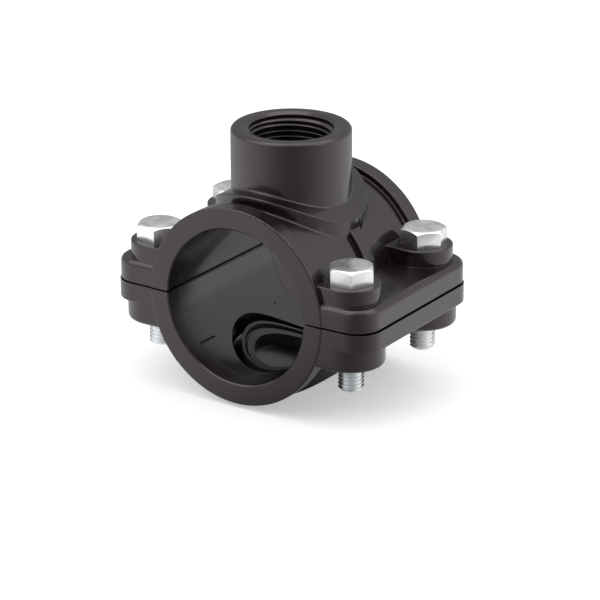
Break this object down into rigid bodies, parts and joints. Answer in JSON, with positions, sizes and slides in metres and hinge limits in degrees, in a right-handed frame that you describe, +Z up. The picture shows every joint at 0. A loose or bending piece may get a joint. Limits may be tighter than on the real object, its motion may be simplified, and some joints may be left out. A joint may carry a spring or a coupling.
{
  "type": "tapping saddle",
  "caption": "Plastic clamp saddle with a female threaded branch: two flanged half shells are screwed together round a pipe, with seal rings inside.",
  "frame": {"origin": "on the pipe axis, at the middle of the saddle's length and level with the parting plane", "axes": "+Y along the pipe, +Z up through the threaded branch, +X across the bolted flanges"},
  "size_m": [0.0954, 0.063, 0.0831],
  "materials": {
    "saddle_plastic": "satin moulded black polypropylene",
    "seal_rubber": "matt black rubber",
    "zinc_steel": "bright zinc plated steel"
  },
  "bodies": {
    "root": {"upper_saddle": "saddle_plastic", "lower_saddle": "saddle_plastic", "branch_seal": "seal_rubber", "lower_seal": "seal_rubber", "screw_front_right": "zinc_steel", "screw_back_right": "zinc_steel", "screw_front_left": "zinc_steel", "screw_back_left": "zinc_steel", "nut_front_right": "zinc_steel", "nut_back_right": "zinc_steel", "nut_front_left": "zinc_steel", "nut_back_left": "zinc_steel"}
  },
  "joints": []
}
